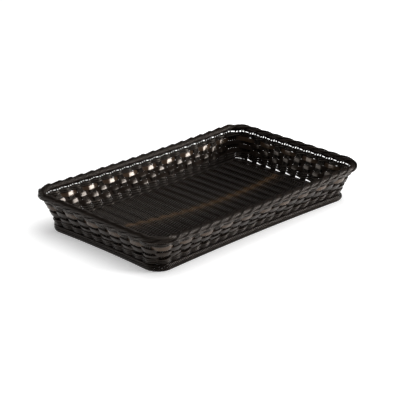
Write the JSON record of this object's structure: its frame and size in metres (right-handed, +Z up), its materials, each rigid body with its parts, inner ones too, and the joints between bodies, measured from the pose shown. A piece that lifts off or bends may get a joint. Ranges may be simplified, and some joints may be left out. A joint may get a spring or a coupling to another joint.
{
  "type": "woven fruit basket",
  "caption": "Shallow rectangular open basket with flared walls of flat weavers over stakes, a rolled rim and a dense woven floor.",
  "frame": {"origin": "middle of the footprint, on the table", "axes": "+X along the length, +Y across the width, +Z up"},
  "size_m": [0.53, 0.33, 0.073],
  "materials": {
    "stake": "satin dark brown-black polymer rattan with fine lengthwise streaks",
    "twine": "satin dark brown-black polymer rattan, thin round strands",
    "weaver_dark": "satin dark brown flat weavers with lengthwise ribs",
    "weaver_brown": "satin lighter brown flat weaver with cream streaks",
    "floor_dark": "satin dark packed strands with fine streaks",
    "floor_brown": "satin warm brown packed strands",
    "border": "satin dark plaited strands"
  },
  "bodies": {
    "root": {"corner_stake_back_left": "stake", "corner_stake_back_right": "stake", "corner_stake_front_left": "stake", "corner_stake_front_right": "stake", "cross_stake_01": "stake", "cross_stake_02": "stake", "cross_stake_03": "stake", "cross_stake_04": "stake", "cross_stake_05": "stake", "cross_stake_06": "stake", "cross_stake_07": "stake", "cross_stake_08": "stake", "cross_stake_09": "stake", "cross_stake_10": "stake", "cross_stake_11": "stake", "cross_stake_12": "stake", "cross_stake_13": "stake", "cross_stake_14": "stake", "cross_stake_15": "stake", "cross_stake_16": "stake", "cross_stake_17": "stake", "cross_stake_18": "stake", "cross_stake_19": "stake", "cross_stake_20": "stake", "end_stake_left_1": "stake", "end_stake_left_2": "stake", "end_stake_left_3": "stake", "end_stake_left_4": "stake", "end_stake_left_5": "stake", "end_stake_left_6": "stake", "end_stake_left_7": "stake", "end_stake_left_8": "stake", "end_stake_right_1": "stake", "end_stake_right_2": "stake", "end_stake_right_3": "stake", "end_stake_right_4": "stake", "end_stake_right_5": "stake", "end_stake_right_6": "stake", "end_stake_right_7": "stake", "end_stake_right_8": "stake", "flat_weaver_1": "weaver_dark", "flat_weaver_2": "weaver_dark", "flat_weaver_3": "weaver_dark", "flat_weaver_4": "weaver_brown", "floor_weave_back": "floor_dark", "floor_weave_band": "floor_brown", "floor_weave_front": "floor_dark", "foot_border": "border", "lower_twine_a": "twine", "lower_twine_b": "twine", "rim_border": "border", "upper_twine_a": "twine", "upper_twine_b": "twine"}
  },
  "joints": []
}
